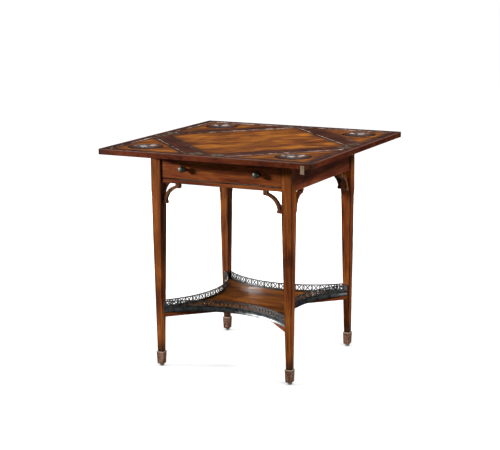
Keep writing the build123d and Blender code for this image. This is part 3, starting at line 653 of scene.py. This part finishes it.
print("groove stained from", round(groove_full / mm), "to", round(groove_end / mm), "mm")

# %% [markdown]
# ## Edges, wear and painted light
# The outer sides of the boards are a redder mahogany, with painted shade on the right-hand side. A pale
# line painted along the upper arris stands in for its highlight, and hands have left the corners dark.
# The sides could be a second material on their own faces, but the solids' faces aren't changed here, so
# the height and the distance from the edge pick them out.

# %% Edges, wear, painted light and the whole veneer
edge_tones = ((0.0, "#240804"), (0.35, "#401608"), (0.65, "#51200D"), (1.0, "#622D11"))
side_start = 0.5 * mm
side_full = 1.5 * mm
# How far the painted shade on the right-hand side reaches in from the edge.
right_shade_start = 6.0 * mm
right_shade_full = 1.0 * mm
# Width of the highlight painted along the upper arris.
arris_highlight_width = 1.6 * mm
handled_width = 42.0 * mm


def with_edges(material, top, colour, tone):
    """Adds the veneer of the outer sides to the top's colour, with painted shade on the right-hand side."""
    on_edge = add_node(
        material, "ShaderNodeMapRange",
        {"Value": top["height"], "From Min": top_height - side_start, "From Max": top_height - side_full},
    )
    at_outside = add_node(
        material, "ShaderNodeMapRange",
        {"Value": top["from_edge"], "From Min": side_full, "From Max": side_start},
    )
    edge_face = add_node(material, "ShaderNodeMath", {0: on_edge, 1: at_outside}, operation="MULTIPLY")
    edging = add_node(material, "ShaderNodeValToRGB", {"Fac": tone}, stops=edge_tones)
    edged = add_node(material, "ShaderNodeMixRGB", {"Fac": edge_face, "Color1": colour, "Color2": edging})
    # Painted shade on the right-hand side of the top.
    rightwards = add_node(material, "ShaderNodeSeparateXYZ", {0: top["place"]}).outputs["X"]
    right_shade_span = (open_half - right_shade_start, open_half - right_shade_full)
    return stain_and_painted_light(material, edged, rightwards, *right_shade_span, 0.45, "#170905")


def with_wear_and_highlight(material, top, colour):
    """Adds the highlight painted along the upper arris, and the corners dark from hands."""
    depth = add_node(material, "ShaderNodeMath", {0: top_height, 1: top["height"]}, operation="SUBTRACT")
    round_arris = add_node(material, "ShaderNodeMath", {0: depth, 1: top["from_edge"]}, operation="ADD")
    # A pale line painted along the arris stands in for its highlight.
    arris_highlit = stain_and_painted_light(material, colour, round_arris, 2 * arris_highlight_width, arris_highlight_width, 0.34, "#7C6258")
    return stain_and_painted_light(material, arris_highlit, top["edge_near"], open_half - handled_width, open_half, 0.8, "#17100D")


def veneer_top():
    """Crossbanded veneer that fits the panel and all four flaps."""
    material = new_material("veneer_crossbanded_polished")
    top = map_top(material)
    field_tone, field_pores = wood_grain(
        material, top["along_field"], band_mm=13, streak_mm=2.4, mottle_mm=55, length_share=0.17,
        streak_share=0.40,
    )
    border_tone, border_pores = wood_grain(material, top["across_border"], band_mm=9, streak_mm=2.2)
    field = field_colour(material, top["nearest"], field_tone)
    banding = border_colour(material, top["nearest"], border_tone)
    flat = add_node(
        material, "ShaderNodeMixRGB", {"Fac": top["border"], "Color1": field, "Color2": banding},
    )
    colour = with_wear_and_highlight(material, top, with_edges(material, top, flat, field_tone))
    pores = add_node(
        material, "ShaderNodeMixRGB", {"Fac": top["border"], "Color1": field_pores, "Color2": border_pores},
    )
    return polish(material, darken_corners(material, colour, 8), pores, coat_roughness=0.13)


veneer = veneer_top()
print("veneer of", len(veneer.node_tree.nodes), "nodes")

# %% [markdown]
# ## Turned dishes
# The counter wells are turned from solid mahogany on a lathe and polished until they shine. The lathe
# leaves fine rings round the middle. They could be modelled, but they are only thousandths of a
# millimetre deep, so the material raises them, by the distance from the dish's own centre.

# %% Turned mahogany
dish_tones = ((0.0, "#140805"), (0.35, "#2A130B"), (0.65, "#3E2013"), (1.0, "#583420"))
lathe_ring_width = 6 * mm


def turned_mahogany(name, centre):
    """Dark turned mahogany with faint lathe rings round a centre."""
    material = new_material(name)
    place = add_node(material, "ShaderNodeTexCoord").outputs["Object"]
    offset = add_node(material, "ShaderNodeVectorMath", {0: place, 1: centre}, operation="SUBTRACT")
    tone, pores = wood_grain(material, offset, band_mm=14, streak_mm=3.5)
    colour = add_node(material, "ShaderNodeValToRGB", {"Fac": tone}, stops=dish_tones)
    rings = add_node(
        material, "ShaderNodeTexWave", {"Vector": offset, "Scale": 1 / lathe_ring_width, "Distortion": 0.0},
        wave_type="RINGS", rings_direction="Z",
    )
    return polish(
        material, darken_corners(material, colour, 8), rings, coat=1.0, coat_roughness=0.14, relief_mm=0.004,
    )


flap_sides = {"front_right": (1, -1), "back_right": (1, 1), "back_left": (-1, 1), "front_left": (-1, -1)}
well_woods = {}
for corner in flap_sides:
    low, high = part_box(f"counter_well_{corner}")
    well_woods[corner] = turned_mahogany(f"mahogany_turned_{corner}", ((low + high) / 2).to_tuple())
print(len(well_woods), "turned dishes")

# %% [markdown]
# ## Inside woods and felt
# The drawer's box and the bearer inside are plain tulipwood, planed and left bare, so it has no coat and
# scatters light evenly. Discs of green felt lie between the frame and the top, which turns on them. Felt
# could be made of hairs, but a sheen and a fine noise are enough for something so small.

# %% Bare wood and felt
bare_tones = ((0.0, "#8C6A41"), (0.5, "#A98453"), (1.0, "#C2A071"))
felt_tones = ((0.35, "#20382A"), (0.65, "#3D5B46"))
pore_depth = 0.05 * mm
felt_fibre = 0.6 * mm
felt_relief = 0.2 * mm


def bare_tulipwood(name, direction):
    """Planed secondary wood without polish."""
    material = new_material(name)
    place = along_grain(material, direction)
    tone, pores = wood_grain(material, place, band_mm=22, streak_mm=4.0)
    colour = add_node(material, "ShaderNodeValToRGB", {"Fac": tone}, stops=bare_tones)
    bump = add_node(
        material, "ShaderNodeBump", {"Height": pores, "Distance": pore_depth, "Strength": 0.4}, invert=True,
    )
    shader = add_node(
        material, "ShaderNodeBsdfPrincipled",
        {"Base Color": darken_corners(material, colour, 10, 0.5), "Roughness": 0.68, "IOR": 1.5,
         "Normal": bump},
    )
    add_node(material, "ShaderNodeOutputMaterial", {"Surface": shader})
    return material


def pressed_felt():
    """Green wool felt with tangled fibres."""
    material = new_material("wool_felt_pressed")
    place = add_node(material, "ShaderNodeTexCoord").outputs["Object"]
    fibres = add_node(
        material, "ShaderNodeTexNoise", {"Vector": place, "Scale": 1 / felt_fibre, "Detail": 3.0},
    )
    colour = add_node(material, "ShaderNodeValToRGB", {"Fac": fibres}, stops=felt_tones)
    bump = add_node(material, "ShaderNodeBump", {"Height": fibres, "Distance": felt_relief})
    shader = add_node(
        material, "ShaderNodeBsdfPrincipled",
        {"Base Color": colour, "Roughness": 0.95, "Sheen Weight": 0.6, "Normal": bump},
    )
    add_node(material, "ShaderNodeOutputMaterial", {"Surface": shader})
    return material


bare_y = bare_tulipwood("tulipwood_planed_y", "y")
bare_x = bare_tulipwood("tulipwood_planed_x", "x")
felt = pressed_felt()
print("bare wood and felt")

# %% [markdown]
# ## Metals
# The gallery and the knobs are cast brass, chemically darkened to a gunmetal grey. The hinges and the
# lift tab are brass gone pale and dull, the screws and the pivot are steel, and the glides are nickel
# plated. A metal's colour is in its reflection, so these have metallic 1 and keep the default index of
# refraction. One noise drives colour, roughness and relief, because patina changes all three together.
# An even colour would be simpler, but old metal never has one.

# %% Metals
def worn_metal(name, dark, bright, roughness, spot_mm, corner_mm=4, rough_spread=0.15, relief_mm=0.08):
    """Metal whose patina varies in spots and gathers in corners."""
    material = new_material(name)
    place = add_node(material, "ShaderNodeTexCoord").outputs["Object"]
    spots = add_node(
        material, "ShaderNodeTexNoise",
        {"Vector": place, "Scale": 1 / (spot_mm * mm), "Detail": 5.0, "Roughness": 0.6},
    )
    tones = ((0.32, dark), (0.68, bright))
    colour = add_node(material, "ShaderNodeValToRGB", {"Fac": spots}, stops=tones)
    rough = add_node(
        material, "ShaderNodeMapRange",
        {"Value": spots, "From Min": 0.3, "From Max": 0.7, "To Min": roughness + rough_spread,
         "To Max": roughness},
    )
    bump = add_node(
        material, "ShaderNodeBump", {"Height": spots, "Distance": relief_mm * mm, "Strength": 0.4},
    )
    shader = add_node(
        material, "ShaderNodeBsdfPrincipled",
        {"Base Color": darken_corners(material, colour, corner_mm), "Metallic": 1.0, "Roughness": rough,
         "Normal": bump},
    )
    add_node(material, "ShaderNodeOutputMaterial", {"Surface": shader})
    return material


gunmetal = worn_metal("brass_cast_darkened", "#373A3B", "#8B8F90", 0.30, 16, relief_mm=0.03)
knob_metal = worn_metal("brass_turned_darkened", "#272B26", "#70766D", 0.34, 3)
pale_brass = worn_metal("brass_rolled_dulled", "#524739", "#7F715C", 0.38, 9)
tab_brass = worn_metal("brass_stamped_worn", "#A78668", "#D9BFA2", 0.30, 4)
screw_steel = worn_metal("steel_turned_browned", "#6E6A62", "#B0ABA0", 0.32, 2)
plain_steel = worn_metal("steel_forged_oiled", "#4C4C4E", "#86878A", 0.35, 6)
glide_nickel = worn_metal("nickel_plated_domed", "#8A8078", "#C9BCB0", 0.35, 5)
print("seven metals")

# %% [markdown]
# ## Dressing the pieces
# Each solid gets its finish by its name: the longest key that the name starts with wins, so one entry
# serves all four legs and another picks out a single one. The pieces themselves are not changed. The
# shelf is a figured veneer with more contrast than the rails, and its wood shines less.

# %% Assign finishes
shelf_tones = ((0.0, "#1F0C05"), (0.35, "#4A2509"), (0.65, "#683A11"), (1.0, "#86531D"))
shelf_mahogany = polished_mahogany(
    "mahogany_figured_shelf", "x", shelf_tones, corner_mm=22, shift=(1.7, 0.4, 0.0), gloss=0.03,
)
finishes = {
    "leg_": leg_wood, "leg_back_left": old_leg_wood, "spade_foot_": foot_wood, "floor_glides": glide_nickel,
    "apron_left": side_mahogany, "apron_right": side_mahogany, "apron_back": rail_mahogany,
    "front_top_rail": rail_mahogany, "front_bottom_rail": low_rail_mahogany,
    "arched_brackets": bracket_mahogany,
    "stretcher_rising": rising_mahogany, "stretcher_falling": falling_mahogany,
    "gallery_screws": screw_steel, "gallery_": gunmetal,
    "drawer_front": drawer_mahogany, "drawer_side_": bare_y, "drawer_bottom": bare_x, "drawer_back": bare_x,
    "drawer_runners": bare_y, "drawer_knobs": knob_metal, "swivel_bearer": bare_x,
    "pivot_socket": plain_steel, "pivot_plate": plain_steel, "pivot_bolt": plain_steel, "felt_pads": felt,
    "centre_panel": veneer, "centre_plug": veneer, "flap_hinge_leaves_": pale_brass,
    "panel_hinge_leaves": pale_brass, "hinge_links_": pale_brass, "panel_screws": screw_steel,
    "flap_screws_": screw_steel, "flap_": veneer, "lift_tab": tab_brass, "undertier_shelf": shelf_mahogany,
    **{f"counter_well_{corner}": wood for corner, wood in well_woods.items()},
}
for name, node in nodes.items():
    start = max((key for key in finishes if name.startswith(key)), key=len)
    node.data.materials.clear()
    node.data.materials.append(finishes[start])
print(len(nodes), "pieces dressed with", len({m.name for m in finishes.values()}), "finishes")

# %% [markdown]
# ## Turned pieces
# The dishes and the knobs are turned on a lathe, so each is one outline spun round an axis. The Screw
# modifier would do that too, but a few lines of mesh code keep the middle a single point. Faces that meet
# at more than a set angle stay sharp, and all others are shaded smooth.

# %% Lathe
def spun(name, outline, steps=96, sharp_degrees=32):
    """Mesh of an outline of (radius, height) points spun round the Z axis, from top to bottom."""
    vertices, faces, rows = [], [], []
    for radius, height in outline:
        count = 1 if radius == 0 else steps
        rows.append(range(len(vertices), len(vertices) + count))
        for step in range(count):
            angle = 2 * math.pi * step / steps
            vertices.append((radius * math.cos(angle), radius * math.sin(angle), height))
    for upper, lower in zip(rows, rows[1:]):
        for step in range(steps):
            following = (step + 1) % steps
            corners = [upper[step % len(upper)], lower[step % len(lower)], lower[following % len(lower)],
                       upper[following % len(upper)]]
            faces.append(tuple(dict.fromkeys(corners)))
    mesh = bpy.data.meshes.new(name)
    mesh.from_pydata(vertices, [], faces)
    for face in mesh.polygons:
        face.use_smooth = True
    mesh.set_sharp_from_angle(angle=math.radians(sharp_degrees))
    piece = bpy.data.objects.new(name, mesh)
    bpy.context.scene.collection.objects.link(piece)
    return piece


print("lathe ready")

# %% [markdown]
# ## Dishes
# The solids come as flat facets, which would break up the reflections in the polish. Spun finely and
# shaded smooth, the dishes mirror the lights as the real ones do. The hollow is part of a ball, so its points
# come from a circle. A ring is cut in each rim, as a turner would mark it.

# %% Dishes
mouth_radius = 55.0 * mm
dish_depth = 9.5 * mm
ball_radius = (mouth_radius ** 2 + dish_depth ** 2) / (2 * dish_depth)
hollow_steps = 24
dish_rim_mm = (
    (56.4, 0.0), (56.7, -0.45), (57.5, -0.45), (57.8, 0.0), (58.9, 0.0), (59.5, -0.25), (59.9, -1.0),
    (59.9, -13.0), (0, -13.0),
)


def dish_outline():
    """Radius and height of the hollow, its rim with a cut ring, and its outside, from the middle outwards."""
    hollow = []
    for step in range(hollow_steps + 1):
        radius = mouth_radius * step / hollow_steps
        hollow.append((radius, ball_radius - dish_depth - math.sqrt(ball_radius ** 2 - radius ** 2)))
    return hollow + [(radius * mm, height * mm) for radius, height in dish_rim_mm]


for corner, wood in well_woods.items():
    low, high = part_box(f"counter_well_{corner}")
    dish = spun(f"turned_dish_{corner}", dish_outline())
    dish.data.transform(Matrix.Translation(((low.x + high.x) / 2, (low.y + high.y) / 2, high.z)))
    dish.data.materials.append(wood)
    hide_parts(f"counter_well_{corner}")
    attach(dish, f"flap_{corner}")
print("dish hollow is part of a ball of radius", round(ball_radius / mm, 1), "mm")

# %% [markdown]
# ## Knobs
# Each knob is a flattened ball on a neck, with a small boss on its face and a flange where it meets the
# drawer. The outline gives radius and height above the drawer in millimetres, from the face inwards. It
# is spun upright, then laid over so that it points out of the drawer. A ball and a cylinder would be
# simpler, but the outline gives the neck and the flange their curves.

# %% Knobs
knob_outline_mm = (
    (0, 20.0), (3.0, 19.9), (5.0, 19.5), (5.4, 19.0), (6.2, 19.0), (7.4, 18.8), (9.0, 17.9), (10.3, 16.4),
    (10.9, 14.8), (11.0, 14.0), (10.7, 13.3), (9.6, 12.1), (7.4, 10.7), (5.4, 9.8), (4.5, 8.8), (4.5, 3.4),
    (5.2, 2.6), (6.2, 2.6), (7.2, 2.2), (7.5, 1.6), (7.5, 0.0), (0, 0.0),
)
knob_low, knob_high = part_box("drawer_knobs")
knob_length = 20.0 * mm
knob_radius = 11.0 * mm
knob_spin = Matrix.Rotation(math.pi / 2, 4, "X")
knob_height = (knob_low.z + knob_high.z) / 2
for side, across in (("left", knob_low.x + knob_radius), ("right", knob_high.x - knob_radius)):
    knob = spun(f"turned_knob_{side}", [(radius * mm, height * mm) for radius, height in knob_outline_mm], 48)
    knob.data.transform(Matrix.Translation((across, knob_low.y + knob_length, knob_height)) @ knob_spin)
    knob.data.materials.append(knob_metal)
    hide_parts("drawer_knobs")
    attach(knob, "drawer")
print("knobs", round((knob_high.x - knob_low.x - 2 * knob_radius) / mm), "mm apart")

# %% [markdown]
# ## Beads along the raised borders
# Where a raised border meets its sunk field, the corner was rounded with a scratch stock, and a pale
# colour is painted on it as its highlight. Each bead is a half-round strip bent round the field with
# mitred corners. A curve with a bevel would do as well, but a mesh keeps the mitres sharp.

# %% Border beads
bead_radius = 1.6 * mm
bead_centre = border_width + 1.2 * mm
field_sunk = 2.0 * mm
field_height = top_height - field_sunk
# The pale tones and their patches are the bead's painted highlight.
highlight_patch_stretch = 25 * mm
bead_highlight_tones = ((0.36, "#2C150E"), (0.50, "#6A4E43"), (0.64, "#9A8073"))


def mitred_strip(name, corners, radius, height, steps=6):
    """Half-round strip along a closed path of level corners, at a height."""
    count = len(corners)
    vertices, faces = [], []
    for index, corner in enumerate(corners):
        arriving = (corner - corners[index - 1]).normalized()
        leaving = (corners[(index + 1) % count] - corner).normalized()
        mitre = (arriving - leaving).normalized()
        sideways = Vector((-arriving.y, arriving.x))
        stretch = radius / mitre.dot(sideways)
        for step in range(steps + 1):
            angle = math.pi * step / steps
            place = corner + mitre * stretch * math.cos(angle)
            vertices.append((place.x, place.y, height + radius * math.sin(angle)))
    ring = steps + 1
    for index in range(count):
        for step in range(steps):
            a, b = index * ring + step, (index + 1) % count * ring + step
            faces.append((a, b, b + 1, a + 1))
    mesh = bpy.data.meshes.new(name)
    mesh.from_pydata(vertices, [], faces)
    for face in mesh.polygons:
        face.use_smooth = True
    strip = bpy.data.objects.new(name, mesh)
    bpy.context.scene.collection.objects.link(strip)
    return strip


def highlit_bead_wood():
    """Wood painted pale as its highlight, with its polish worn smooth."""
    material = new_material("mahogany_bead_painted_highlight")
    place = add_node(material, "ShaderNodeTexCoord").outputs["Object"]
    pale_patches = add_node(
        material, "ShaderNodeTexNoise", {"Vector": place, "Scale": 1 / highlight_patch_stretch, "Detail": 3.0},
    )
    # Pale tones stand in for the highlight along the bead.
    colour = add_node(material, "ShaderNodeValToRGB", {"Fac": pale_patches}, stops=bead_highlight_tones)
    return polish(material, colour, pale_patches, roughness=0.3, coat=0.8, coat_roughness=0.15)


bead_wood = highlit_bead_wood()
eighth_turn_cosine = math.sqrt(0.5)
line_inside = hinge_line - bead_centre
line_outside = (hinge_line + bead_centre) / eighth_turn_cosine
edge_inside = open_half - bead_centre
panel_corner = line_inside / eighth_turn_cosine
panel_path = [Vector((x * panel_corner, y * panel_corner)) for x, y in ((0, -1), (1, 0), (0, 1), (-1, 0))]
strips = {"top": mitred_strip("panel_bead", panel_path, bead_radius, field_height)}
for corner, (side_x, side_y) in flap_sides.items():
    tip = Vector((edge_inside * side_x, edge_inside * side_y))
    along_x = Vector(((line_outside - edge_inside) * side_x, edge_inside * side_y))
    along_y = Vector((edge_inside * side_x, (line_outside - edge_inside) * side_y))
    path = [along_x, tip, along_y] if side_x * side_y < 0 else [along_y, tip, along_x]
    strips[f"flap_{corner}"] = mitred_strip(f"flap_bead_{corner}", path, bead_radius, field_height)
for body, strip in strips.items():
    strip.data.materials.append(bead_wood)
    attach(strip, body)
print(len(strips), "beads of", round(2 * bead_radius / mm, 1), "mm")

# %% [markdown]
# ## Slotted screws
# The solids have plain screws. Real ones have a slot, so each is turned again here round its own axis:
# a shank, a head, and two half-moons on the head that leave the slot between them. A boolean cut would
# do the same, but this way no cutter is left over.

# %% Find the screws
weld_distance = 0.01 * mm
end_share = 0.3
tail_reach = 0.1 * mm


def loose_parts(mesh):
    """Vertex places of each separate shell of a mesh, always in the same order."""
    build = bmesh.new()
    build.from_mesh(mesh)
    bmesh.ops.remove_doubles(build, verts=build.verts, dist=weld_distance)
    build.verts.index_update()
    seen = set()
    parts = []
    for first in build.verts:
        if first.index in seen:
            continue
        seen.add(first.index)
        stack = [first]
        part = []
        while stack:
            vertex = stack.pop()
            part.append(vertex.co.copy())
            for edge in vertex.link_edges:
                other = edge.other_vert(vertex)
                if other.index not in seen:
                    seen.add(other.index)
                    stack.append(other)
        parts.append(part)
    build.free()
    return parts


def screw_axis(points):
    """Middle of the head's top, direction out of the head, head radius, shank radius and length."""
    far = max(((a - b).length, i, j) for i, a in enumerate(points) for j, b in enumerate(points[:i]))
    rough = (points[far[1]] - points[far[2]]).normalized()
    lengths = [point.dot(rough) for point in points]
    end_reach = end_share * (max(lengths) - min(lengths))
    low_end = [p for p, d in zip(points, lengths) if d < min(lengths) + end_reach]
    high_end = [p for p, d in zip(points, lengths) if d > max(lengths) - end_reach]
    ends = [sum(group, Vector()) / len(group) for group in (low_end, high_end)]
    sizes = [max((p - end).length for p in group) for group, end in zip((low_end, high_end), ends)]
    head = 0 if sizes[0] > sizes[1] else 1
    out = (ends[head] - ends[1 - head]).normalized()
    line = [(p - ends[head]).dot(out) for p in points]
    spread = [(p - ends[head] - out * d).length for p, d in zip(points, line)]
    top = max(line)
    tail_spread = max(r for r, d in zip(spread, line) if d < min(line) + tail_reach)
    return ends[head] + out * top, out, max(spread), tail_spread, top - min(line)


print("screws on the panel:", len(loose_parts(nodes["panel_screws"].data)))

# %% [markdown]
# ## Turning the screws
# Every screw found is made again at the same place and of the same size, now with its slot. No two
# slots on real furniture stop at the same angle, so each gets a random one, and a fixed seed makes the
# angles the same each time the script runs.

# %% Turn the screws
gallery_head_height = 1.2 * mm
hinge_head_height = 1.7 * mm


def screw_parts(radius, shank, length, head_height, slot_share=0.22):
    """Vertices and faces of a slotted screw whose head's top is at zero, pointing up."""
    steps = 24
    arc_steps = 12
    arc_points = arc_steps + 1
    slot_depth = 0.45 * head_height
    layers = ((-slot_depth, 1.0), (-0.3 * slot_depth, 0.98), (0.0, 0.86))
    vertices, faces = [], []
    rings = ((shank, -length), (shank, -head_height), (radius, -slot_depth))
    for ring_radius, z in rings:
        for step in range(steps):
            angle = 2 * math.pi * step / steps
            vertices.append((ring_radius * math.cos(angle), ring_radius * math.sin(angle), z))
    for level in range(len(rings) - 1):
        for step in range(steps):
            a, b = level * steps + step, level * steps + (step + 1) % steps
            faces.append((a, b, b + steps, a + steps))
    faces.append(tuple(range(steps - 1, -1, -1)))
    faces.append(tuple(range(2 * steps, 3 * steps)))
    start = math.asin(slot_share)
    for side in (1, -1):
        first = len(vertices)
        arc = [start + (math.pi - 2 * start) * step / arc_steps for step in range(arc_points)]
        for z, share in layers:
            for angle in arc:
                level = max(math.sin(angle) * share, slot_share)
                vertices.append((radius * share * math.cos(angle) * side, radius * level * side, z))
        for layer in range(len(layers) - 1):
            row = first + layer * arc_points
            for step in range(arc_points):
                a, b = row + step, row + (step + 1) % arc_points
                faces.append((a, b, b + arc_points, a + arc_points))
        faces.append(tuple(range(len(vertices) - arc_points, len(vertices))))
    return vertices, faces


def slotted_screws(node_name, head_height):
    """One object with a slotted screw for every screw of a node."""
    vertices, faces = [], []
    found = [screw_axis(points) for points in loose_parts(nodes[node_name].data)]
    for place, out, radius, shank, length in found:
        turn = Vector((0, 0, 1)).rotation_difference(out).to_matrix()
        own_turn = Matrix.Rotation(random.uniform(0, math.pi), 3, "Z")
        local_vertices, local_faces = screw_parts(radius, shank, length, head_height)
        first = len(vertices)
        vertices += [place + turn @ own_turn @ Vector(v) for v in local_vertices]
        faces += [tuple(first + i for i in face) for face in local_faces]
    mesh = bpy.data.meshes.new(f"{node_name}_slotted")
    mesh.from_pydata(vertices, [], faces)
    screws = bpy.data.objects.new(f"{node_name}_slotted", mesh)
    bpy.context.scene.collection.objects.link(screws)
    mesh.materials.append(screw_steel)
    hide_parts(node_name)
    print(node_name, len(found), "screws,", round(2 * found[0][2] / mm, 1), "mm across")
    return screws


random.seed(27)
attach(slotted_screws("gallery_screws", gallery_head_height), "base")
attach(slotted_screws("panel_screws", hinge_head_height), "top")
for corner in flap_sides:
    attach(slotted_screws(f"flap_screws_{corner}", hinge_head_height), f"flap_{corner}")
